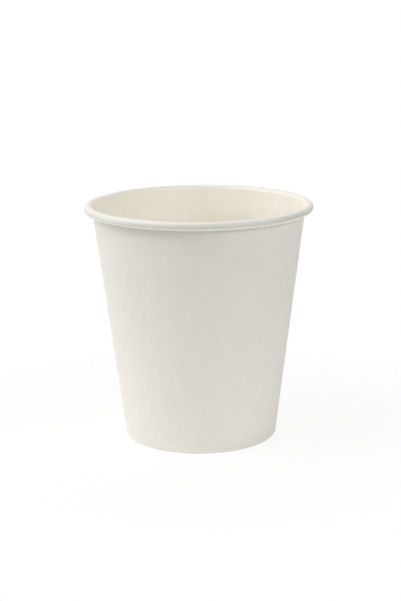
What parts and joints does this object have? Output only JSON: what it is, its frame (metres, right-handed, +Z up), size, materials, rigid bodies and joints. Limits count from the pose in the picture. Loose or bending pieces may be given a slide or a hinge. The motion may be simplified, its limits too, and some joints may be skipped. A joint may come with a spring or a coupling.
{
  "type": "paper cup",
  "caption": "Plain single-wall paper cup for hot drinks, with a rolled rim, a lapped side seam and a bottom recessed inside a folded foot ring.",
  "frame": {"origin": "centre of the foot ring, on the table that the cup stands on", "axes": "+Z up along the cup's axis from foot to rim; seen from -Y, +X is to the right, and the side seam is behind the right side, 20 degrees from +X towards +Y"},
  "size_m": [0.08, 0.08, 0.0835],
  "materials": {
    "cup_board": "matte uncoated white board outside, satin film inside and over the rolled rim",
    "bottom_board": "satin film on the drink's side, matte uncoated board below"
  },
  "bodies": {
    "root": {"side_wall": "cup_board", "bottom_disc": "bottom_board"}
  },
  "joints": []
}
